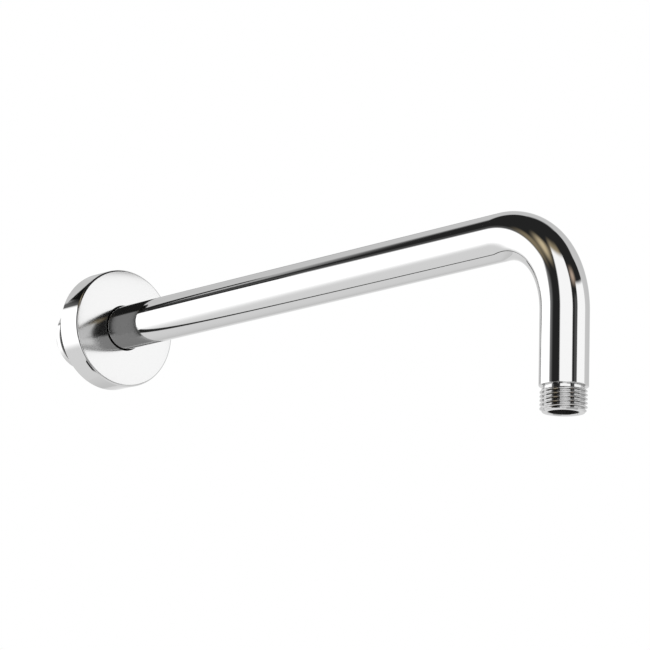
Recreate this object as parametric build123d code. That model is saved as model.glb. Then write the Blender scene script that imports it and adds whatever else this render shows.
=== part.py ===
# Wall-mounted shower arm: a bent tube, a turned fitting brazed in each end, and a cover flange on an O-ring.
# Millimetres, +Z up. The origin is on the tube's axis, in the plane where the collar seats at the wall.
# +X leaves the wall along the arm, and the outlet points down.
import os

from build123d import *

# Tube
tube_od = 22.0
tube_wall = 1.5
reach = 363.0  # seat plane to the axis of the drop
bend_radius = 40.0  # on the centreline
drop = 73.5  # axis of the arm to the lower end of the tube
tube_end_round = 0.3  # outside edge at the outlet

# Half-inch pipe threads, as plain cylinders of the thread's outside diameter
thread_od = 20.955
thread_depth = 1.162
waterway = 13.6  # bore through both fittings
thread_chamfer = 1.2
bore_chamfer = 0.4
inlet_thread = 9.5  # seat plane to the end
outlet_nose = 11.5  # tube's end to the end of the thread
relief_length = 1.5  # smooth neck above the outlet thread
relief_od = 18.2

# Spigots of the fittings inside the tube
spigot_length = 12.0
spigot_lead = 0.6
braze_gap = 0.05  # radial

# Collar at the wall
collar_od = 33.0
collar_thickness = 3.2
collar_edge = 0.4

# Cover flange
flange_od = 60.0
flange_depth = 14.0
flange_wall = 1.5
flange_edge = 1.0  # rounding around the front face
flange_inner_round = 1.0
flange_back = 23.0  # seat plane to the rim that lies on the wall
hole_clearance = 0.3  # radial, around the tube
hole_edge = 0.3
hub_lip = 2.0  # each side of the ring groove
hub_wall = 1.9  # outside the ring groove

# O-ring in the flange's hub
ring_section = 2.5
ring_clearance = 0.05  # to the tube and to the root of its groove
groove_ratio = 1.3  # groove width over ring section

# Derived sizes
tube_r = tube_od / 2
tube_bore_r = tube_r - tube_wall
spigot_r = tube_bore_r - braze_gap
thread_r = thread_od / 2
relief_r = relief_od / 2
waterway_r = waterway / 2
collar_r = collar_od / 2
bend_start = reach - bend_radius
flange_r = flange_od / 2
flange_front = flange_back + flange_depth
hole_r = tube_r + hole_clearance
ring_r = tube_r + ring_clearance + ring_section / 2
groove_root_r = tube_r + 2 * ring_clearance + ring_section
groove_width = ring_section * groove_ratio
groove_front = flange_front - flange_wall - hub_lip
groove_back = groove_front - groove_width
hub_back = groove_back - hub_lip
hub_r = groove_root_r + hub_wall


def turned(outline):
    """Solid of revolution about X from a closed outline of (along, radius) points."""
    points = [(along, 0, radius) for along, radius in outline]
    return revolve(make_face(Polyline(*points, close=True)), Axis.X, 360)


def edges_at(solid, along, radius):
    """The round edges about X at one place and radius."""
    return [
        e
        for e in solid.edges().filter_by(GeomType.CIRCLE)
        if abs(e.center(CenterOf.BOUNDING_BOX).X - along) < 1e-4 and abs(e.radius - radius) < 1e-4
    ]


def down_at_outlet(solid):
    """Turn a solid made along +X to point down the drop, its origin in the tube's lower end."""
    return Pos(reach, 0, -drop) * Rot(0, 90, 0) * solid


# Tube: straight run, bend about an axis below it, and drop
ring_face = Circle(tube_r) - Circle(tube_bore_r)
straight = extrude(
    Plane(origin=(collar_thickness, 0, 0), z_dir=(1, 0, 0)) * ring_face, bend_start - collar_thickness
)
bend = revolve(
    Plane(origin=(bend_start, 0, 0), z_dir=(1, 0, 0)) * ring_face,
    Axis((bend_start, 0, -bend_radius), (0, 1, 0)),
    90,
)
lower = extrude(
    Plane(origin=(reach, 0, -bend_radius), z_dir=(0, 0, -1)) * ring_face, drop - bend_radius
)
arm_tube = straight + bend + lower
rim = [
    e
    for e in arm_tube.edges().filter_by(GeomType.CIRCLE)
    if abs(e.center(CenterOf.BOUNDING_BOX).Z + drop) < 1e-4 and abs(e.radius - tube_r) < 1e-4
]
arm_tube = fillet(rim, tube_end_round)

# Inlet fitting: thread, collar that seats at the wall, and spigot inside the tube
spigot_end = collar_thickness + spigot_length
inlet_fitting = turned(
    [
        (-inlet_thread, waterway_r + bore_chamfer),
        (-inlet_thread, thread_r - thread_chamfer),
        (thread_chamfer - inlet_thread, thread_r),
        (0, thread_r),
        (0, collar_r - collar_edge),
        (collar_edge, collar_r),
        (collar_thickness - collar_edge, collar_r),
        (collar_thickness, collar_r - collar_edge),
        (collar_thickness, spigot_r),
        (spigot_end - spigot_lead, spigot_r),
        (spigot_end, spigot_r - spigot_lead),
        (spigot_end, waterway_r),
        (bore_chamfer - inlet_thread, waterway_r),
    ]
)

# Outlet fitting: spigot up inside the tube, relief neck, and threaded nose
outlet_fitting = down_at_outlet(
    turned(
        [
            (-spigot_length, waterway_r),
            (-spigot_length, spigot_r - spigot_lead),
            (spigot_lead - spigot_length, spigot_r),
            (0, spigot_r),
            (0, relief_r),
            (relief_length, relief_r),
            (relief_length, thread_r - thread_depth / 2),
            (relief_length + thread_depth / 2, thread_r),
            (outlet_nose - thread_chamfer, thread_r),
            (outlet_nose, thread_r - thread_chamfer),
            (outlet_nose, waterway_r + bore_chamfer),
            (outlet_nose - bore_chamfer, waterway_r),
        ]
    )
)

# Cover flange: a cup open to the wall, with a hub that holds the O-ring
wall_flange = turned(
    [
        (flange_back, flange_r - flange_wall),
        (flange_back, flange_r),
        (flange_front, flange_r),
        (flange_front, hole_r + hole_edge),
        (flange_front - hole_edge, hole_r),
        (groove_front, hole_r),
        (groove_front, groove_root_r),
        (groove_back, groove_root_r),
        (groove_back, hole_r),
        (hub_back, hole_r),
        (hub_back, hub_r),
        (flange_front - flange_wall, hub_r),
        (flange_front - flange_wall, flange_r - flange_wall),
    ]
)
wall_flange = fillet(edges_at(wall_flange, flange_front, flange_r), flange_edge)
inner_corners = edges_at(wall_flange, flange_front - flange_wall, flange_r - flange_wall)
inner_corners += edges_at(wall_flange, flange_front - flange_wall, hub_r)
wall_flange = fillet(inner_corners, flange_inner_round)

# O-ring
ring_centre = (groove_front + groove_back) / 2
flange_o_ring = Plane(origin=(ring_centre, 0, 0), z_dir=(1, 0, 0)) * Torus(ring_r, ring_section / 2)

os.makedirs("parts", exist_ok=True)
export_step(arm_tube, "parts/arm_tube.step")
export_step(inlet_fitting, "parts/inlet_fitting.step")
export_step(outlet_fitting, "parts/outlet_fitting.step")
export_step(wall_flange, "parts/wall_flange.step")
export_step(flange_o_ring, "parts/flange_o_ring.step")
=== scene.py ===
# %% [markdown]
# # A chrome shower arm, dressed for its portrait
# The arm is a bent brass tube with a turned fitting brazed into each end, and a loose cover flange that
# rides on a rubber ring. Its metal is chrome plated. Chrome has almost no colour of its own, so
# two things make the picture: surfaces smooth enough to carry a clean reflection, and a studio worth
# reflecting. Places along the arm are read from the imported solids, and every size is in metres unless a
# helper says so.

# %% Load the fixed frame
from math import ceil, cos, hypot, pi, radians, sin, tan

import bmesh
import bpy
from mathutils import Matrix, Vector


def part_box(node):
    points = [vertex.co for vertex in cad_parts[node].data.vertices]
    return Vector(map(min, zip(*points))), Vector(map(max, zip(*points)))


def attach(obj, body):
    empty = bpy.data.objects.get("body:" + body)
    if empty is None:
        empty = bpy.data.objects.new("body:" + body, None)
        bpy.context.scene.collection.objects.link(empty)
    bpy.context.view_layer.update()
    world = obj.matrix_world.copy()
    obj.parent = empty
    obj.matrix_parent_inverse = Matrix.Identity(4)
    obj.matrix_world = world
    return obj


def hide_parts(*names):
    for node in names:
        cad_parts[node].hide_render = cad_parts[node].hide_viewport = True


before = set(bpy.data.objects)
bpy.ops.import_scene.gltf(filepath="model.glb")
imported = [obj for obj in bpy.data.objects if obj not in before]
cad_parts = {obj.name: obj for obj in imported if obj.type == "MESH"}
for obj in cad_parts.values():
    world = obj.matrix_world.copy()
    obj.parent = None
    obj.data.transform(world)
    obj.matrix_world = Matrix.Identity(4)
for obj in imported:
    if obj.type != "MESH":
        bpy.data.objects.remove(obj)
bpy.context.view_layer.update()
MM = 0.001
print("CAD nodes:", sorted(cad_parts))

# %% [markdown]
# ## From a bmesh to a piece
# Every piece ends the same way: doubles are merged, faces are turned outwards, and faces are smoothed
# except across real edges. A mirror finish shows each facet of a coarse mesh, so round things get many
# steps.

# %% A helper that turns a bmesh into a piece
AROUND = 160  # steps in a full turn
SAME_POINT = 0.002 * MM  # points closer than this are one point
EDGE_ANGLE = 32  # in degrees: steeper edges stay sharp


def make_piece(bm, name, body, node, materials, edge_angle=EDGE_ANGLE):
    """Finish a bmesh as the object that stands for one CAD node and moves with one body."""
    bmesh.ops.remove_doubles(bm, verts=bm.verts[:], dist=SAME_POINT)
    bmesh.ops.recalc_face_normals(bm, faces=bm.faces[:])
    open_edges = sum(not e.is_manifold for e in bm.edges)
    mesh = bpy.data.meshes.new(name)
    bm.to_mesh(mesh)
    bm.free()
    mesh.shade_smooth()
    mesh.set_sharp_from_angle(angle=radians(edge_angle))
    for material in materials:
        mesh.materials.append(material)
    piece = bpy.data.objects.new(name, mesh)
    bpy.context.scene.collection.objects.link(piece)
    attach(piece, body)
    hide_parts(node)
    low, high = (Vector(f(v.co[i] for v in mesh.vertices) for i in range(3)) for f in (min, max))
    cad_low, cad_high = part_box(node)
    off = max((low - cad_low).length, (high - cad_high).length) / MM
    print(f"{name}: {len(mesh.polygons)} faces, {open_edges} open edges, {off:.2f} mm from the CAD box")


print(f"round pieces: {AROUND} steps of {360 / AROUND} degrees")

# %% [markdown]
# ## Node helper and colours
# Materials are written as short lists of nodes. One function adds a node, sets its sockets or options and
# links it. Colours are written as sRGB hex values, the way a paint chip would be noted, and turned to
# linear.

# %% Helpers for materials
def linear(hex_colour):
    """sRGB hex to linear RGBA."""
    parts = [int(hex_colour[i : i + 2], 16) / 255 for i in (1, 3, 5)]
    return [c / 12.92 if c <= 0.04045 else ((c + 0.055) / 1.055) ** 2.4 for c in parts] + [1.0]


def add(tree, kind, settings=None, links=None):
    """Add a node, set its options or sockets, and link outputs of other nodes to its sockets."""
    node = tree.nodes.new(kind)
    for key, value in (settings or {}).items():
        if isinstance(key, str) and hasattr(node, key):
            setattr(node, key, value)
        else:
            node.inputs[key].default_value = value
    for key, output in (links or {}).items():
        tree.links.new(output, node.inputs[key])
    return node


def new_material(name):
    """A node material that is still empty, and its tree."""
    material = bpy.data.materials.new(name)
    material.use_nodes = True
    material.node_tree.nodes.clear()
    return material, material.node_tree


def show(tree, shader):
    """Make a shader the surface of its material."""
    add(tree, "ShaderNodeOutputMaterial", {}, {"Surface": shader})


print("#808080 is", round(linear("#808080")[0], 3), "of white in linear light")

# %% [markdown]
# ## Chromium
# Tube, flange and fittings all end in the same bath: nickel, then a thin coat of chromium. Chromium
# returns a little over half of the light at every colour, so a white room comes back as a light grey,
# #C4C4C4, and only something brighter than the room comes back white. What the metal went through before
# the bath shows as waves, rings or hairlines, so this helper takes those from the finish that calls it.

# %% The metal that all the finishes share
FACING, GRAZING = "#C4C4C4", "#E4E4E4"  # what it returns straight on, and its tint at a slant
GRAIN_LOW, GRAIN_HIGH = 0.3, 0.7  # a noise texture seldom leaves this range


def chromium(tree, grain, smoothest, dullest, relief):
    """Chromium plate whose roughness follows a fine grain, over the relief of a bump node."""
    spread = add(
        tree,
        "ShaderNodeMapRange",
        {"From Min": GRAIN_LOW, "From Max": GRAIN_HIGH, "To Min": smoothest, "To Max": dullest},
        {"Value": grain.outputs["Fac"]},
    )
    metal = add(
        tree,
        "ShaderNodeBsdfPrincipled",
        {"Base Color": linear(FACING), "Metallic": 1.0, "Specular Tint": linear(GRAZING)},
        {"Roughness": spread.outputs["Result"], "Normal": relief.outputs["Normal"]},
    )
    show(tree, metal.outputs["BSDF"])


def from_axis(tree, place, across):
    """Distance from an axis. across is 1 in the directions across the axis and 0 in the one along it."""
    flat = add(tree, "ShaderNodeVectorMath", {"operation": "MULTIPLY", 1: across}, {0: place})
    length = add(tree, "ShaderNodeVectorMath", {"operation": "LENGTH"}, {0: flat.outputs["Vector"]})
    return length.outputs["Value"]


print("chromium returns", round(linear(FACING)[0], 3), "of the light that meets it straight on")

# %% [markdown]
# ## Polished chrome plate
# The tube and the flange are buffed before plating. Buffing leaves a surface that is flat to microns but
# never perfect: it rolls gently over a centimetre or two, which makes straight reflections waver, and
# it carries fine hairlines that soften a reflection's edge here and there. The wheel takes more from a
# wide face near its rim. So the flange's face falls away from its hole by more than a millimetre, and
# mirrors the tube tapered and a little soft. The CAD face is flat, and a piece keeps the shape of its
# solid, so that fall is left to a bump. The plate that nobody buffs, inside the flange, is duller and
# rolls more.

# %% Polished chrome
WAVE = 22 * MM  # from one roll of the surface to the next
BUFFED_WAVE_HEIGHT = 0.006 * MM
PLAIN_WAVE_HEIGHT = 0.01 * MM
HAIRLINE = 0.6 * MM  # wider than real hairlines, so that they show
TUBE_R = 11 * MM
HOLE_R = TUBE_R + 0.3 * MM  # of the flange's hole, where its face stands highest
CROWN_CURVE = 9.05  # how fast the face then falls away, as slope per metre of radius


def crown(tree, place):
    """Height of a face about X that falls away from its hole to its rim."""
    radius = from_axis(tree, place, (0, 1, 1))
    beyond = add(tree, "ShaderNodeMath", {"operation": "SUBTRACT", 1: HOLE_R}, {0: radius})
    square = add(tree, "ShaderNodeMath", {"operation": "POWER", 1: 2.0}, {0: beyond.outputs["Value"]})
    fall = {"operation": "MULTIPLY", 1: -CROWN_CURVE / 2}
    return add(tree, "ShaderNodeMath", fall, {0: square.outputs["Value"]}).outputs["Value"]


def polished_chrome(name, wave_height, roughness, haze, crowned=False):
    """Chromium plate with slow waviness in its normal and fine variation in its roughness."""
    material, tree = new_material(name)
    place = add(tree, "ShaderNodeTexCoord").outputs["Object"]
    waves = add(tree, "ShaderNodeTexNoise", {"Scale": 1 / WAVE, "Detail": 1.0}, {"Vector": place})
    relief = add(
        tree, "ShaderNodeBump", {"Strength": 1.0, "Distance": wave_height}, {"Height": waves.outputs["Fac"]}
    )
    if crowned:
        relief = add(
            tree,
            "ShaderNodeBump",
            {"Strength": 1.0, "Distance": 1.0},
            {"Height": crown(tree, place), "Normal": relief.outputs["Normal"]},
        )
    hairlines = add(tree, "ShaderNodeTexNoise", {"Scale": 1 / HAIRLINE, "Detail": 3.0}, {"Vector": place})
    chromium(tree, hairlines, roughness, roughness + haze, relief)
    return material


buffed = polished_chrome("chrome_plate_buffed", BUFFED_WAVE_HEIGHT, roughness=0.03, haze=0.02)
crowned_plate = polished_chrome(
    "chrome_plate_buffed_crowned", BUFFED_WAVE_HEIGHT, roughness=0.11, haze=0.02, crowned=True
)
plain_plate = polished_chrome("chrome_plate_unbuffed", PLAIN_WAVE_HEIGHT, roughness=0.16, haze=0.12)
print("chrome:", buffed.name, crowned_plate.name, plain_plate.name)

# %% [markdown]
# ## Turned chrome plate
# The fittings are turned on a lathe and plated without buffing, so the tool's feed marks stay as fine
# rings about the axis. Real feed marks are near 0.1 mm apart. Here they are 0.25 mm, so that they show. A
# Mapping node brings each fitting's own axis to Z: the inlet's lies along the arm, the outlet's stands at
# its reach.

# %% Turned chrome
FEED, FEED_DEPTH = 0.25 * MM, 0.0002 * MM
PLATE_GRAIN = 0.4 * MM
outlet_low, outlet_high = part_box("outlet_fitting")
reach = (outlet_low.x + outlet_high.x) / 2  # from the wall to the axis of the drop


def turned_chrome(name, axis_turn, axis_place):
    """Chromium plate on a lathe-turned surface: rings about an axis that the Mapping node brings to Z."""
    material, tree = new_material(name)
    place = add(tree, "ShaderNodeTexCoord").outputs["Object"]
    on_axis = add(
        tree,
        "ShaderNodeMapping",
        {"vector_type": "TEXTURE", "Location": axis_place, "Rotation": axis_turn},
        {"Vector": place},
    ).outputs["Vector"]
    radius = from_axis(tree, on_axis, (1, 1, 0))
    along = add(tree, "ShaderNodeSeparateXYZ", {}, {"Vector": on_axis}).outputs["Z"]
    travel = add(tree, "ShaderNodeMath", {"operation": "ADD"}, {0: radius, 1: along}).outputs["Value"]
    turns = add(tree, "ShaderNodeMath", {"operation": "MULTIPLY", 1: 2 * pi / FEED}, {0: travel})
    rings = add(tree, "ShaderNodeMath", {"operation": "SINE"}, {0: turns.outputs["Value"]})
    relief = add(
        tree,
        "ShaderNodeBump",
        {"Strength": 1.0, "Distance": FEED_DEPTH},
        {"Height": rings.outputs["Value"]},
    )
    grain = add(tree, "ShaderNodeTexNoise", {"Scale": 1 / PLATE_GRAIN, "Detail": 2.0}, {"Vector": place})
    chromium(tree, grain, smoothest=0.03, dullest=0.06, relief=relief)
    return material


inlet_plate = turned_chrome("chrome_plate_turned_inlet", (0, pi / 2, 0), (0, 0, 0))
outlet_plate = turned_chrome("chrome_plate_turned_outlet", (0, 0, 0), (reach, 0, 0))
print("turned chrome:", inlet_plate.name, "and", outlet_plate.name, f"{reach / MM:.1f} mm from the wall")

# %% [markdown]
# ## Brass
# Plating hardly reaches inside a long tube, so the bore keeps the dull yellow of drawn brass, streaked
# with tarnish. The waterways of the fittings and the narrow gap of the flange's hole get painted shade:
# a near-black matt brass that stands in for the shade in those deep, narrow hollows. Both come from one
# brass helper: patches of two tones.

# %% Brass, bare and as painted shade
TARNISH, SHADE_PATCH = 7 * MM, 2.5 * MM  # from patch to patch


def patchy_brass(name, patch, detail, light, dark, finish):
    """Brass with patches of two tones. finish sets what is the same all over it."""
    material, tree = new_material(name)
    place = add(tree, "ShaderNodeTexCoord").outputs["Object"]
    patches = add(tree, "ShaderNodeTexNoise", {"Scale": 1 / patch, "Detail": detail}, {"Vector": place})
    tone = add(
        tree,
        "ShaderNodeMix",
        {"data_type": "RGBA", "A": linear(light), "B": linear(dark)},
        {"Factor": patches.outputs["Fac"]},
    )
    metal = add(tree, "ShaderNodeBsdfPrincipled", finish, {"Base Color": tone.outputs["Result"]})
    show(tree, metal.outputs["BSDF"])
    return material


bare, painted_shade_finish = {"Metallic": 1.0, "Roughness": 0.38}, {"Roughness": 0.6, "IOR": 1.5}
brass = patchy_brass(
    "brass_drawn_bore", TARNISH, detail=4.0, light="#B08D4C", dark="#6E552C", finish=bare
)
# Painted shade: a near-black matt brass for the waterways and the flange's hole, where shade falls.
painted_shade_brass = patchy_brass(
    "brass_painted_shade_waterway", SHADE_PATCH, detail=3.0, light="#1C1813", dark="#0F0D0B", finish=painted_shade_finish
)
print("brass:", brass.name, painted_shade_brass.name)

# %% [markdown]
# ## Moulded rubber
# The ring in the flange is black EPDM rubber: dark, not shiny, with the faint grain of its mould. The
# grain both lifts the surface and pales it a little, as the bloom on old rubber does.

# %% Rubber
MOULD_GRAIN, MOULD_DEPTH = 0.25 * MM, 0.02 * MM


def moulded_rubber(name):
    """Black EPDM: matt, with a fine moulded grain."""
    material, tree = new_material(name)
    place = add(tree, "ShaderNodeTexCoord").outputs["Object"]
    grain = add(tree, "ShaderNodeTexNoise", {"Scale": 1 / MOULD_GRAIN, "Detail": 2.0}, {"Vector": place})
    relief = add(
        tree, "ShaderNodeBump", {"Strength": 0.5, "Distance": MOULD_DEPTH}, {"Height": grain.outputs["Fac"]}
    )
    bloom = add(
        tree,
        "ShaderNodeMix",
        {"data_type": "RGBA", "A": linear("#161616"), "B": linear("#242424")},
        {"Factor": grain.outputs["Fac"]},
    )
    skin = add(
        tree,
        "ShaderNodeBsdfPrincipled",
        {"Roughness": 0.55, "IOR": 1.5},
        {"Base Color": bloom.outputs["Result"], "Normal": relief.outputs["Normal"]},
    )
    show(tree, skin.outputs["BSDF"])
    return material


rubber = moulded_rubber("rubber_epdm_moulded")
print("rubber:", rubber.name)

# %% [markdown]
# ## The bent tube
# A tube bender draws a straight tube round a former, so the bend is a quarter of a torus that meets both
# straight runs tangentially. Two circles, the outside and the bore, are extruded along the arm, spun a
# quarter turn about the bender's axis and extruded down the drop. Bridging the circles closes each end,
# and a bevel gives the outlet end its rolled-over edge. Smooth shading would carry a slant from the bend,
# or from that edge, along a whole run, and a mirror shows it, so a short extra step holds each run
# straight.

# %% Helpers that pull and round edges
def edges_of(geometry):
    return [g for g in geometry if isinstance(g, bmesh.types.BMEdge)]


def verts_of(geometry):
    return [g for g in geometry if isinstance(g, bmesh.types.BMVert)]


def extrude_loop(bm, loop, step, times=1):
    """Pull a loop of edges along a straight line, and return the loop at its far end."""
    for _ in range(times):
        pulled = bmesh.ops.extrude_edge_only(bm, edges=loop)["geom"]
        bmesh.ops.translate(bm, verts=verts_of(pulled), vec=step)
        loop = edges_of(pulled)
    return loop


def round_off(bm, geometry, size, steps, affect):
    """Round the edges of a solid or the corners of an outline."""
    bmesh.ops.bevel(
        bm,
        geom=geometry,
        offset=size,
        offset_type="OFFSET",
        segments=steps,
        profile=0.5,
        affect=affect,
        material=-1,
    )


tube_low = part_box("arm_tube")[0]
tube_start, drop = tube_low.x, -tube_low.z  # from the wall, and from the arm's axis to the tube's lower end
print(f"tube: starts {tube_start / MM:.1f} mm from the wall and drops {drop / MM:.1f} mm")

# %% Arm tube
TUBE_WALL = 1.5 * MM
BEND_R = 40 * MM  # on the tube's axis
END_ROUND, END_STEPS = 0.3 * MM, 4
HOLD = 0.4 * MM  # from the end of a straight run to the loop that keeps its shading straight
RUN_STEPS, BEND_STEPS, DROP_STEPS = 12, 64, 4
bend_start = reach - BEND_R
run_step = (bend_start - tube_start - HOLD) / RUN_STEPS
drop_step = (drop - BEND_R - 2 * HOLD) / DROP_STEPS


def pull_through_bend(bm, radius):
    """One wall of the tube: the loops of edges at its wall end and at its outlet."""
    upright = Matrix.Translation((tube_start, 0, 0)) @ Matrix.Rotation(pi / 2, 4, "Y")
    circle = bmesh.ops.create_circle(bm, segments=AROUND, radius=radius, matrix=upright)["verts"]
    first = list({e for v in circle for e in v.link_edges})
    loop = extrude_loop(bm, first, (run_step, 0, 0), RUN_STEPS)
    loop = extrude_loop(bm, loop, (HOLD, 0, 0))
    ends = {v for e in loop for v in e.verts}
    bent = bmesh.ops.spin(
        bm,
        geom=loop + list(ends),
        cent=(bend_start, 0, -BEND_R),
        axis=(0, 1, 0),
        dvec=(0, 0, 0),
        angle=pi / 2,
        steps=BEND_STEPS,
        use_merge=False,
        use_duplicate=False,
    )["geom_last"]
    loop = extrude_loop(bm, edges_of(bent), (0, 0, -HOLD))
    loop = extrude_loop(bm, loop, (0, 0, -drop_step), DROP_STEPS)
    return first, extrude_loop(bm, loop, (0, 0, -HOLD))


bm = bmesh.new()
wall_out, outlet_out = pull_through_bend(bm, TUBE_R)
outside = set(bm.faces)
wall_in, outlet_in = pull_through_bend(bm, TUBE_R - TUBE_WALL)
for face in set(bm.faces) - outside:
    face.material_index = 1
bmesh.ops.bridge_loops(bm, edges=wall_out + wall_in)
bmesh.ops.bridge_loops(bm, edges=outlet_out + outlet_in)
round_off(bm, outlet_out, END_ROUND, END_STEPS, "EDGES")
make_piece(bm, "bent_tube", "arm", "arm_tube", [buffed, brass])

# %% [markdown]
# ## Turned pieces
# A lathe makes bodies of revolution, and spin does the same from half an outline. Sharp corners are
# rounded on the outline first, with a vertex bevel, because that is easier than finding the edges
# afterwards. Each long edge gets a point close to both of its ends, which keeps the shading of the flat
# or round between flat.

# %% A lathe for outlines
CORNER_STEPS = 6
LONG_EDGE = 0.5 * MM  # shorter edges belong to a rounding
FLAT_TO = 0.03 * MM  # from the end of a long edge to the point that keeps its shading flat


def draw_outline(bm, points, closed):
    """Join (along, radius, rounding) points by edges, and round the corners."""
    verts = [bm.verts.new((along, 0, radius)) for along, radius, _ in points]
    for a, b in zip(verts, verts[1:] + verts[:1] if closed else verts[1:]):
        bm.edges.new((a, b))
    for vert, (_, _, rounding) in zip(verts, points):
        if rounding:
            round_off(bm, [vert], rounding, CORNER_STEPS, "VERTICES")


def spin_about_x(bm, steps, advance=0.0):
    """Turn an outline once about X. An advance at each step makes the turn a helix, which stays open."""
    bmesh.ops.spin(
        bm,
        geom=bm.verts[:] + bm.edges[:],
        cent=(0, 0, 0),
        axis=(1, 0, 0),
        dvec=(advance, 0, 0),
        angle=2 * pi,
        steps=steps,
        use_merge=advance == 0,
        use_duplicate=False,
    )


def lathe(points, closed=True):
    """A bmesh turned about X from an outline."""
    bm = bmesh.new()
    draw_outline(bm, points, closed)
    for edge in [e for e in bm.edges if e.calc_length() > LONG_EDGE]:
        for vert in edge.verts:
            bmesh.utils.edge_split(edge, vert, FLAT_TO / edge.calc_length())
    spin_about_x(bm, AROUND)
    return bm


print("lathe: a corner is rounded in", CORNER_STEPS, "steps")

# %% [markdown]
# ## The cover flange
# The flange is a shallow cup, open to the wall, with a hub behind its face. A groove in the hub holds the
# rubber ring. It could be cut from a cylinder, but one outline on the lathe gives the cup, the hub and
# the groove at once. Its rim and its crowned face are buffed. Nobody buffs the inside, which keeps the
# duller plate, and the hole around the tube gets painted shade in near-black brass.

# %% Wall flange
FLANGE_R, FLANGE_WALL = 30 * MM, 1.5 * MM
FACE_ROUND = 1.0 * MM  # around the face, and in the corners behind it
HOLE_EDGE = 0.3 * MM  # chamfer at the front of the hole
EDGE_BREAK = 0.1 * MM  # small roundings that only take the sharpness off
RIM_IN, RIM_OUT = 0.2 * MM, 0.25 * MM  # roundings of the rim that lies on the wall
RING_SECTION, RING_CLEARANCE = 2.5 * MM, 0.05 * MM
GROOVE_RATIO = 1.3  # width of the ring's groove over the ring's section
LIP, HUB_WALL = 2.0 * MM, 1.9 * MM  # beside the ring's groove, and outside it
flange_back, flange_front = (corner.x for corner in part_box("wall_flange"))
cup_r = FLANGE_R - FLANGE_WALL
face_back = flange_front - FLANGE_WALL
groove_r = TUBE_R + 2 * RING_CLEARANCE + RING_SECTION
groove_front = face_back - LIP
groove_back = groove_front - GROOVE_RATIO * RING_SECTION
hub_back, hub_r = groove_back - LIP, groove_r + HUB_WALL

bm = lathe(
    [
        (flange_back, cup_r, RIM_IN),
        (flange_back, FLANGE_R, RIM_OUT),
        (flange_front, FLANGE_R, FACE_ROUND),
        (flange_front, HOLE_R + HOLE_EDGE, EDGE_BREAK),
        (flange_front - HOLE_EDGE, HOLE_R, EDGE_BREAK),
        (groove_front, HOLE_R, EDGE_BREAK),
        (groove_front, groove_r, 0),
        (groove_back, groove_r, 0),
        (groove_back, HOLE_R, EDGE_BREAK),
        (hub_back, HOLE_R, EDGE_BREAK),
        (hub_back, hub_r, RIM_IN),
        (face_back, hub_r, FACE_ROUND),
        (face_back, cup_r, FACE_ROUND),
    ]
)

# %% Finishes of the flange
IN_CUP, ON_FACE = 0.1 * MM, 0.01 * MM  # how near to the cup or the front the middle of a mesh face is
finishes = [buffed, crowned_plate, plain_plate, painted_shade_brass]
for face in bm.faces:
    middle = face.calc_center_median()
    radius = hypot(middle.y, middle.z)
    # Painted shade: the hole's chamfer and wall, where shade falls, get the near-black brass.
    if radius < HOLE_R + HOLE_EDGE:
        finish = painted_shade_brass
    elif middle.x < face_back + IN_CUP and radius < cup_r + IN_CUP:
        finish = plain_plate
    elif middle.x > flange_front - ON_FACE:
        finish = crowned_plate
    else:
        finish = buffed
    face.material_index = finishes.index(finish)
make_piece(bm, "cover_flange", "flange", "wall_flange", finishes)

# %% [markdown]
# ## The rubber ring
# An O-ring is a moulded torus. The two halves of its mould meet at the ring's inside and outside, and a
# hair of flash stays on that line. A torus from the menu has no flash, so a circle with two drawn-out
# points is turned on the lathe instead.

# %% O-ring
FLASH = 0.03 * MM
SECTION_STEPS = 32
ring_middle = (groove_front + groove_back) / 2
ring_r = TUBE_R + RING_CLEARANCE + RING_SECTION / 2
section_r = RING_SECTION / 2 - FLASH
bm = bmesh.new()
side = Matrix.Translation((ring_middle, 0, ring_r)) @ Matrix.Rotation(pi / 2, 4, "X")
section = bmesh.ops.create_circle(bm, segments=SECTION_STEPS, radius=section_r, matrix=side)["verts"]
for vert in section:
    if abs(vert.co.x - ring_middle) < SAME_POINT:
        vert.co.z += FLASH if vert.co.z > ring_r else -FLASH
spin_about_x(bm, AROUND)
make_piece(bm, "rubber_ring", "seal", "flange_o_ring", [rubber])

# %% [markdown]
# ## Pipe threads
# Both ends carry the parallel half-inch pipe thread: 1.814 mm from crest to crest, flanks 55 degrees
# apart, crests and roots rounded. One pitch of the outline is spun round the axis while it moves one
# pitch along it. Copies of that turn follow each other, and merging the seams makes one continuous helix.
# Two flat cuts trim it, and crests that stand above the chamfers are pressed in to them, where a
# chamfering tool would cut.

# %% Thread helper
PITCH, THREAD_R = 1.814 * MM, 10.4775 * MM
FLANK = radians(55) / 2
V_HEIGHT = PITCH / 2 / tan(FLANK)  # of the sharp V, before a sixth of it is lost at each tip
PITCH_R = THREAD_R - V_HEIGHT / 3
TIP_R = V_HEIGHT / 6 / (1 / sin(FLANK) - 1)
TIP_CUT = TIP_R / tan(FLANK)  # along each flank, from the sharp tip to its rounding
LONG_FLANK = 0.3 * MM  # shorter edges belong to a rounded tip
PER_TURN = 120  # steps in a turn of the helix
RUN_IN = 1.5 * PITCH  # helix before its first cut
CUT_NEAR = 0.001 * MM  # points this close to a cut are on it


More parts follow.
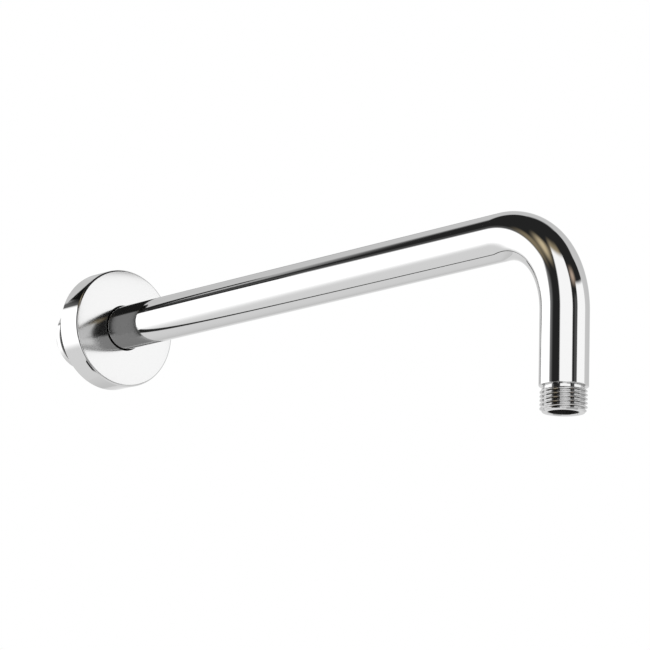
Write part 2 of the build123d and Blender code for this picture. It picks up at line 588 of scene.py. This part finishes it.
def trimmed_helix(first, last, crest_turn):
    """A threaded skin about X, cut flat at first and last. crest_turn turns it about the axis."""
    helix = bmesh.new()
    start = first - RUN_IN
    one_pitch = [
        (start, PITCH_R, 0),
        (start + PITCH / 4, PITCH_R + V_HEIGHT / 2, TIP_CUT),
        (start + 3 * PITCH / 4, PITCH_R - V_HEIGHT / 2, TIP_CUT),
        (start + PITCH, PITCH_R, 0),
    ]
    draw_outline(helix, one_pitch, closed=False)
    flanks = [e for e in helix.edges if e.calc_length() > LONG_FLANK]
    bmesh.ops.subdivide_edges(helix, edges=flanks, cuts=2)
    about_axis = Matrix.Rotation(crest_turn, 3, "X")
    bmesh.ops.rotate(helix, verts=helix.verts[:], cent=(0, 0, 0), matrix=about_axis)
    spin_about_x(helix, PER_TURN, advance=PITCH / PER_TURN)
    one_turn = helix.verts[:] + helix.edges[:] + helix.faces[:]
    for turn in range(1, ceil((last - start) / PITCH) + 1):
        copy = bmesh.ops.duplicate(helix, geom=one_turn)["geom"]
        bmesh.ops.translate(helix, verts=verts_of(copy), vec=(turn * PITCH, 0, 0))
    bmesh.ops.remove_doubles(helix, verts=helix.verts[:], dist=SAME_POINT)
    for place, way in ((first, -1), (last, 1)):
        bmesh.ops.bisect_plane(
            helix,
            geom=helix.verts[:] + helix.edges[:] + helix.faces[:],
            dist=CUT_NEAR,
            plane_co=(place, 0, 0),
            plane_no=(way, 0, 0),
            clear_outer=True,
        )
    return helix


def thread_on(bm, first, last, crest_turn, first_r, last_r):
    """Add a thread from first to last along X, and return its two open loops. Its chamfers rise at 45
    degrees from the radii first_r and last_r at the two cuts."""
    helix = trimmed_helix(first, last, crest_turn)
    for vert in helix.verts:
        radius = hypot(vert.co.y, vert.co.z)
        limit = min(first_r + vert.co.x - first, last_r + last - vert.co.x)
        if radius > limit:
            vert.co.yz = vert.co.yz * (limit / radius)
    scratch = bpy.data.meshes.new("helix")
    helix.to_mesh(scratch)
    helix.free()
    known = set(bm.edges)
    bm.from_mesh(scratch)
    bpy.data.meshes.remove(scratch)
    rims = [e for e in bm.edges if e not in known and e.is_boundary]
    middle = (first + last) / 2
    return [e for e in rims if e.verts[0].co.x < middle], [e for e in rims if e.verts[0].co.x > middle]


print(f"thread: {PITCH / MM} mm pitch, {2 * V_HEIGHT / 3 / MM:.3f} mm deep, {2 * THREAD_R / MM} mm across")

# %% [markdown]
# ## Fittings
# Both fittings have a plain spigot, which is brazed into the tube, a waterway and a thread with a
# chamfered end. So one helper turns them on the lathe from what differs: the shoulder between spigot and
# thread. The lathe leaves the place of the thread open, and bridging its two rims to the helix closes the
# piece. Both are made with the thread pointing along +X, and the finished piece is then turned to where
# it belongs.

# %% Fitting helper
SPIGOT_R = TUBE_R - TUBE_WALL - 0.05 * MM  # the gap is filled with braze
SPIGOT_LEAD = 0.6 * MM
BORE_R, BORE_CHAMFER = 6.8 * MM, 0.4 * MM
PAINTED_SHADE_REACH = 0.02 * MM  # how far the painted shade climbs round the edge of the bore
TIP_CHAMFER = 1.2 * MM
NEAR_RIM = 0.05 * MM  # points this close to a place are on its rim


def rim_at(bm, along, radius):
    """The open loop of a turned surface at one place and radius."""
    return [
        e
        for e in bm.edges
        if e.is_boundary
        and all(abs(v.co.x - along) < NEAR_RIM for v in e.verts)
        and all(abs(hypot(v.co.y, v.co.z) - radius) < NEAR_RIM for v in e.verts)
    ]


def turned_fitting(shoulder, spigot_end, thread_end, crest_turn, first_chamfer):
    """A fitting about X. shoulder is its outline from the start of the thread to the foot of the spigot."""
    thread_start, neck_r, _ = shoulder[0]
    spigot_and_bore = [
        (shoulder[-1][0], SPIGOT_R, 0),
        (spigot_end + SPIGOT_LEAD, SPIGOT_R, 0),
        (spigot_end, SPIGOT_R - SPIGOT_LEAD, 0),
        (spigot_end, BORE_R, 0),
        (thread_end - BORE_CHAMFER, BORE_R, EDGE_BREAK),
        (thread_end, BORE_R + BORE_CHAMFER, 0),
    ]
    bm = lathe(shoulder + spigot_and_bore, closed=False)
    for face in bm.faces:
        middle = face.calc_center_median()
        # Painted shade: the faces of the bore get the near-black brass.
        face.material_index = int(hypot(middle.y, middle.z) < BORE_R + PAINTED_SHADE_REACH)
    neck = rim_at(bm, thread_start, neck_r)
    mouth = rim_at(bm, thread_end, BORE_R + BORE_CHAMFER)
    chamfers = THREAD_R - first_chamfer, THREAD_R - TIP_CHAMFER
    thread_top, thread_tip = thread_on(bm, thread_start, thread_end, crest_turn, *chamfers)
    bmesh.ops.bridge_loops(bm, edges=neck + thread_top)
    bmesh.ops.bridge_loops(bm, edges=mouth + thread_tip)
    return bm


print(f"spigots: {2 * SPIGOT_R / MM:.1f} mm across, waterway {2 * BORE_R / MM:.1f} mm")

# %% [markdown]
# ## The outlet fitting
# Below the end of the tube come a smooth relief neck, where the threading tool ran out, the thread itself
# and a chamfered end around the bore. The thread is turned so that its crests stand as in the photograph.

# %% Outlet fitting
RELIEF_R, RELIEF_LENGTH = 9.1 * MM, 1.5 * MM
FIRST_CHAMFER = 0.58 * MM  # half the thread's depth
OUTLET_CREST = radians(142)
THREAD_EDGE_ANGLE = 40  # steeper edges of a fitting stay sharp
relief = [(RELIEF_LENGTH, RELIEF_R, 0), (0, RELIEF_R, 0)]
outlet_plates = [outlet_plate, painted_shade_brass]
bm = turned_fitting(relief, -drop - outlet_high.z, -drop - outlet_low.z, OUTLET_CREST, FIRST_CHAMFER)
bmesh.ops.rotate(bm, verts=bm.verts[:], cent=(0, 0, 0), matrix=Matrix.Rotation(pi / 2, 3, "Y"))
bmesh.ops.translate(bm, verts=bm.verts[:], vec=(reach, 0, -drop))
make_piece(bm, "outlet_nose", "arm", "outlet_fitting", outlet_plates, THREAD_EDGE_ANGLE)

# %% [markdown]
# ## The inlet fitting
# The wall end has the same spigot and thread, with a round collar between them, against which the tube
# ends. The collar seats on the elbow in the wall. The thread points away from the arm, so the piece is
# turned round.

# %% Inlet fitting
COLLAR_R, COLLAR_EDGE = 16.5 * MM, 0.4 * MM
SEAT_CHAMFER = 0.1 * MM
inlet_low, inlet_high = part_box("inlet_fitting")
collar = [(0, THREAD_R, 0), (0, COLLAR_R, COLLAR_EDGE), (-tube_start, COLLAR_R, COLLAR_EDGE)]
inlet_plates = [inlet_plate, painted_shade_brass]
bm = turned_fitting(collar, -inlet_high.x, -inlet_low.x, 0.0, SEAT_CHAMFER)
bmesh.ops.rotate(bm, verts=bm.verts[:], cent=(0, 0, 0), matrix=Matrix.Rotation(pi, 3, "Z"))
make_piece(bm, "wall_nipple", "arm", "inlet_fitting", inlet_plates, THREAD_EDGE_ANGLE)

# %% [markdown]
# ## The studio
# Chrome is photographed by arranging what it sees. A white room gives the light grey along the edges.
# Dark cloth overhead and in front gives the black bands that draw the form, and soft boxes give the white
# ones. A panel is a patch of a sphere around the arm, or a flat card or part of a ring near it. On the
# sphere, azimuth 0 is in front of the arm, towards -Y, and 90 is off its outlet end, towards +X. A nearer
# panel hides a farther one. The panels stay out of the camera's sight, and matt things are lit by the
# plain white room alone. Sizes and places of panels are in millimetres.

# %% Shapes of panels
def between(corners, across, up):
    """The point of a four-sided patch: corners run from the lower left round to the upper left."""
    a, b, c, d = (Vector(corner) for corner in corners)
    return a.lerp(b, across).lerp(d.lerp(c, across), up)


def dome(middle, distance, corners):
    """A patch of a sphere around its middle, with (azimuth, elevation) corners in degrees."""

    def place(across, up):
        azimuth, elevation = between(corners, across, up)
        level = Matrix.Rotation(radians(-elevation), 3, "X") @ Vector((0, -distance, 0))
        return Vector(middle) + Matrix.Rotation(radians(azimuth), 3, "Z") @ level

    return place


def card(along, corners):
    """A flat sheet across the arm: its place along X and its (y, z) corners."""
    return lambda across, up: Vector((along, *between(corners, across, up)))


def arc(along, radii, angles, middle=(0, 0)):
    """Part of a flat ring across the arm: angles in degrees upwards from the front, middle in (y, z)."""

    def place(across, up):
        radius = radii[0] + (radii[1] - radii[0]) * across
        angle = radians(angles[0] + (angles[1] - angles[0]) * up)
        return Vector((along, middle[0] - radius * cos(angle), middle[1] + radius * sin(angle)))

    return place


print("the middle of a card:", card(0, [(-1, -1), (1, -1), (1, 1), (-1, 1)])(0.5, 0.5)[:])

# %% A helper that hangs a panel
PANEL_STEPS = 40, 24  # across and up


def bent_sheet(name, place):
    """A mesh whose points are given by place, and whose UV map runs from 0 to 1 across and up."""
    bm = bmesh.new()
    columns, rows = PANEL_STEPS
    bmesh.ops.create_grid(bm, x_segments=columns, y_segments=rows, size=0.5, calc_uvs=True)
    uv = bm.loops.layers.uv.verify()
    for vert in bm.verts:
        across, up = vert.co.x + 0.5, vert.co.y + 0.5
        for loop in vert.link_loops:
            loop[uv].uv = (across, up)
        vert.co = place(across, up) * MM
    mesh = bpy.data.meshes.new(name)
    bm.to_mesh(mesh)
    bm.free()
    return mesh


def studio_panel(name, place, radiance, soft, tint="#FFFFFF"):
    """A glowing or dark sheet. place gives its points, and soft the share of its width or height that fades
    out at the left, right, bottom and top."""
    mesh = bent_sheet(name, place)
    material, tree = new_material(name)
    on_sheet = add(tree, "ShaderNodeTexCoord").outputs["UV"]
    flat = add(tree, "ShaderNodeSeparateXYZ", {}, {"Vector": on_sheet})
    cover = None
    for axis, start, share in zip("XXYY", (0, 1, 0, 1), soft):
        if share == 0:
            continue
        fade = add(
            tree,
            "ShaderNodeMapRange",
            {"interpolation_type": "SMOOTHSTEP", "From Min": float(start), "From Max": abs(start - share)},
            {"Value": flat.outputs[axis]},
        ).outputs["Result"]
        if cover:
            both = add(tree, "ShaderNodeMath", {"operation": "MULTIPLY"}, {0: cover, 1: fade})
            fade = both.outputs["Value"]
        cover = fade
    light = {"Color": linear(tint), "Strength": radiance}
    glow = add(tree, "ShaderNodeEmission", light).outputs["Emission"]
    if cover:
        clear = add(tree, "ShaderNodeBsdfTransparent").outputs["BSDF"]
        glow = add(tree, "ShaderNodeMixShader", {}, {0: cover, 1: clear, 2: glow}).outputs["Shader"]
    show(tree, glow)
    mesh.materials.append(material)
    panel = bpy.data.objects.new(name, mesh)
    bpy.context.scene.collection.objects.link(panel)
    panel.visible_camera = panel.visible_diffuse = panel.visible_shadow = False


def hang(panels):
    """Hang a group of panels, which gives for each name what studio_panel needs."""
    for name, panel in panels.items():
        studio_panel(name, *panel)
    print(len(panels), "panels:", *panels)


print("a panel has", PANEL_STEPS[0], "by", PANEL_STEPS[1], "faces")

# %% [markdown]
# ## Cloth
# Dark cloth closes the studio overhead. In front it hangs to below the horizon, and at the left its lower
# edge climbs towards the back, so that the tube sees it as one narrow band along its upper side. A low
# piece in front of the outlet puts dark lines between the crests of the thread. Each row gives a panel's
# shape, its radiance and the shares that fade out.

# %% Dark cloth
ROOM = (200, 0, -20)
DARK = 0.03

cloth = {
    "cloth_front": (
        dome(ROOM, 3000, [(-72, -20), (150, -20), (150, 90), (-72, 90)]), DARK, (0.025, 0.02, 0, 0)
    ),
    "cloth_left": (
        dome(ROOM, 3050, [(-128, 63.5), (-58, 25), (-58, 90), (-128, 90)]), DARK, (0, 0, 0.14, 0)
    ),
    "cloth_back": (
        dome(ROOM, 3100, [(-184, 58), (-124, 58), (-124, 90), (-184, 90)]), DARK, (0, 0, 0.3, 0)
    ),
    "cloth_right": (
        dome(ROOM, 3150, [(145, 44), (182, 60), (182, 90), (145, 90)]), DARK, (0, 0, 0.15, 0)
    ),
    "cloth_low": (
        dome(ROOM, 800, [(-8, -72), (75, -72), (60, -14), (-8, -14)]), DARK, (0.1, 0.1, 0.2, 0.1)
    ),
}
hang(cloth)

# %% [markdown]
# ## Walls and soft boxes
# A white wall at the left, shaded in one place, and a bounce sheet below brighten the arm's underside.
# The soft box off the outlet end hangs close to the bend, so that the flange, a forearm's length away,
# hardly sees it. The two at the left give the long white band of the tube, and the one at the right the
# last white band of the drop. A radiance of 1 is as bright as the room, so the boxes shine up to twice as
# bright.

# %% Walls and soft boxes
OUTLET = (358, -5, -25)

lights = {
    "wall_left": (
        dome(ROOM, 3300, [(-175, -60), (-70, -60), (-70, 26), (-175, 26)]), 1.2, (0.3, 0.1, 0, 0.4)
    ),
    "wall_shade": (
        dome(ROOM, 2900, [(-138, 6), (-114, 6), (-114, 34), (-138, 34)]), 0.6, (0.35, 0.35, 0.3, 0.3)
    ),
    "bounce_sheet": (
        dome(ROOM, 850, [(-180, -89), (180, -89), (180, -14), (-180, -14)]), 1.13, (0, 0, 0, 0.29)
    ),
    "soft_box_outlet": (
        dome(OUTLET, 240, [(27, -12), (87, -12), (81, 64), (17, 64)]), 1.66, (0.1, 0.07, 0, 0.13)
    ),
    "soft_box_left": (
        dome(ROOM, 1600, [(-89, -42), (-1, -42), (-18, 18), (-89, 18)]), 2.0, (0.2, 0.07, 0.45, 0.1)
    ),
    "soft_box_left_top": (
        dome(ROOM, 2850, [(-89, 4), (-12, 4), (-18, 29.3), (-89, 28)]), 2.0, (0.2, 0.07, 0.2, 0.2)
    ),
    "soft_box_right": (
        dome(ROOM, 2400, [(103, -8), (153, -8), (151, 31), (105, 33.5)]), 1.67, (0.08, 0.08, 0, 0.12)
    ),
}
hang(lights)

# %% [markdown]
# ## Stray light
# No cloth is black all over. Light that spills past the soft boxes lands on it: warm patches above them
# give the bend its brown gleams, and dim grey ones beside them border each white band with dark grey.

# %% Stray light
WARM, ROSY = "#FFEAC0", "#FFE4CC"

strays = {
    "stray_above_box": (
        dome(OUTLET, 280, [(8, 50), (84, 50), (78, 78), (2, 78)]), 0.5, (0.3, 0.3, 0, 0.6), WARM
    ),
    "stray_left": (
        dome(ROOM, 2600, [(-28, 34), (24, 32), (24, 60), (-28, 62)]), 0.95, (0.5, 0.5, 0.45, 0.45), WARM
    ),
    "stray_right": (
        dome(OUTLET, 280, [(80, 26), (118, 24), (118, 50), (80, 53)]), 0.75, (0.5, 0.5, 0.5, 0.5), ROSY
    ),
    "stray_beside_box": (
        dome(ROOM, 2500, [(-45, 26), (4, 26), (4, 44), (-45, 44)]), 0.36, (0.3, 0.6, 0.3, 0.5), WARM
    ),
    "stray_low": (
        dome(ROOM, 2700, [(-26, -10), (-2, -10), (-2, 30), (-26, 30)]), 0.27, (0.3, 0.6, 0, 0.3)
    ),
    "stray_along_box": (
        dome(ROOM, 2950, [(-69, 20), (-20, 20), (-20, 36), (-69, 34)]), 0.115, (0.12, 0.3, 0, 0.25)
    ),
    "stray_between_boxes": (
        dome(OUTLET, 285, [(91, -24), (106, -24), (106, 24), (91, 24)]), 0.125, (0.3, 0, 0, 0.2)
    ),
}
hang(strays)

# %% [markdown]
# ## Cards near the arm
# Small cards fine-tune what a polished corner sees. What the tube's foot mirrors is first mirrored by the
# flange's face, and so comes from beyond the outlet. Grey arcs stand there, across the arm: they grey the
# foot, and its image in the face. A light arc within them lights the far end of that image. Behind the
# flange, a dark ring sector draws the wedge on its rim, a grey card the wedge's foot, and a light sector
# the rim's lower grey. Three dark strips level with the flange draw the fine dark lines along the arm.

# %% Cards
FAR_BEHIND, BEHIND_FLANGE, AT_FLANGE = -3, -2, 35  # along X

cards = {
    "grey_arc": (arc(1500, (1225, 2150), (-40, 57)), 0.56, (0.03, 0, 0.1, 0.06)),
    "grey_arc_low": (arc(509, (255, 690), (-140, -28)), 0.62, (0.04, 0, 0.05, 0.14)),
    "grey_arc_middle": (arc(508, (415, 700), (-50, -8)), 0.56, (0.05, 0, 0.1, 0.1)),
    "light_arc": (arc(508, (100, 245), (-84, -22)), 1.9, (0.1, 0.15, 0.1, 0.12)),
    "rim_card": (arc(BEHIND_FLANGE, (32, 45.5), (15, 86), (-8, 16)), 0.01, (0.05, 0, 0.25, 0)),
    "rim_card_grey": (
        card(FAR_BEHIND, [(-40.9, 20.5), (-50, 30.9), (-37.8, 42.7), (-38, 25.3)]), 0.2, (0, 0, 0.15, 0.45)
    ),
    "rim_card_low": (arc(BEHIND_FLANGE, (44, 61), (-84, -20)), 1.13, (0, 0.1, 0, 0.21)),
    "strip_low": (
        card(AT_FLANGE, [(8, -431), (40, -429), (-17, -20), (-26, -21)]), DARK, (0.2, 0.2, 0, 0)
    ),
    "strip_high": (
        card(AT_FLANGE, [(-29, 21.5), (-20, 25.5), (-30, 120), (-48, 120)]), DARK, (0.2, 0.2, 0, 0.3)
    ),
    "strip_band": (
        card(AT_FLANGE, [(-27, 14.3), (-21.5, 20.5), (-103, 106), (-117, 93)]), DARK, (0.25, 0.25, 0, 0.2)
    ),
}
hang(cards)

# %% [markdown]
# ## Floor and room
# The room is plain white, and the floor a pale matt sheet well below the arm, which hangs at the height
# of a wall. The eye and the chrome see four fifths of the sheet as the white of the room, and the rest as
# lit paper, so that it stays pale and still keeps the arm's shadow.

# %% Floor and world
FLOOR_Z, FLOOR_HALF = -0.9, 12.0  # height, and half the side of the sheet
CLOUDS_PER_METRE = 6.0  # of the paper's faint mottle
WHITE_SHARE = 0.8

bm = bmesh.new()
bmesh.ops.create_grid(bm, x_segments=1, y_segments=1, size=FLOOR_HALF)
bmesh.ops.translate(bm, verts=bm.verts[:], vec=(0, 0, FLOOR_Z))
mesh = bpy.data.meshes.new("floor")
bm.to_mesh(mesh)
bm.free()
sheet, tree = new_material("floor_matt_paper")
place = add(tree, "ShaderNodeTexCoord").outputs["Object"]
mottle = add(tree, "ShaderNodeTexNoise", {"Scale": CLOUDS_PER_METRE, "Detail": 3.0}, {"Vector": place})
tone = add(
    tree,
    "ShaderNodeMix",
    {"data_type": "RGBA", "A": linear("#F1F1F0"), "B": linear("#F5F5F4")},
    {"Factor": mottle.outputs["Fac"]},
)
paper = add(tree, "ShaderNodeBsdfPrincipled", {"Roughness": 0.9}, {"Base Color": tone.outputs["Result"]})
rays = add(tree, "ShaderNodeLightPath").outputs
seen = rays["Is Camera Ray"]
for kind in ("Is Glossy Ray", "Is Transmission Ray"):
    seen = add(tree, "ShaderNodeMath", {"operation": "ADD"}, {0: seen, 1: rays[kind]}).outputs["Value"]
share = add(tree, "ShaderNodeMath", {"operation": "MULTIPLY", 1: WHITE_SHARE}, {0: seen})
white = add(tree, "ShaderNodeEmission", {"Strength": 1.0})
mixed = add(
    tree,
    "ShaderNodeMixShader",
    {},
    {0: share.outputs["Value"], 1: paper.outputs["BSDF"], 2: white.outputs["Emission"]},
)
show(tree, mixed.outputs["Shader"])
mesh.materials.append(sheet)
floor = bpy.data.objects.new("floor", mesh)
bpy.context.scene.collection.objects.link(floor)

world = bpy.data.worlds.new("white_room")
bpy.context.scene.world = world
world.use_nodes = True
world.node_tree.nodes["Background"].inputs["Color"].default_value = (1, 1, 1, 1)
world.node_tree.nodes["Background"].inputs["Strength"].default_value = 1.0
bpy.context.scene.view_settings.view_transform = "Standard"
print(f"floor: {-FLOOR_Z} m below the arm's axis")

# %% [markdown]
# ## The camera
# The photograph looks up at the arm from in front of its outlet end, through a long lens. The camera's
# place and turn come from matching the tube's outline, the bend and the flange's ellipse in the
# photograph. It turns about a point of the arm's axis midway between the flange's rim and the drop, and
# is then aimed a little off that point, by the pixels that lie between it and the middle of the picture.

# %% Camera
IMAGE_SIDE_PX = 650
FOCAL_PX = 3552.194
AIM_OFF_PX = (-5.193, -43.71)
DISTANCE = 1687.344 * MM
yaw, pitch, roll = radians(50.791), radians(11.949), radians(1.553)

back = Vector((sin(yaw) * cos(pitch), -cos(yaw) * cos(pitch), -sin(pitch)))
level_right = (-back).cross(Vector((0, 0, 1))).normalized()
level_up = level_right.cross(-back)
right = cos(roll) * level_right + sin(roll) * level_up
up = cos(roll) * level_up - sin(roll) * level_right
metres_per_px = DISTANCE / FOCAL_PX
aim = Vector(((flange_back + reach) / 2, 0, 0))
aim += metres_per_px * (up * AIM_OFF_PX[1] - right * AIM_OFF_PX[0])

lens = bpy.data.cameras.new("camera")
lens.sensor_width = 36.0
lens.lens = FOCAL_PX * lens.sensor_width / IMAGE_SIDE_PX
lens.clip_end = 50
camera = bpy.data.objects.new("camera", lens)
turn = Matrix((right, up, back)).transposed().to_4x4()
camera.matrix_world = Matrix.Translation(aim + back * DISTANCE) @ turn
bpy.context.scene.collection.objects.link(camera)
bpy.context.scene.camera = camera
print("camera at", [round(c, 3) for c in camera.matrix_world.translation])
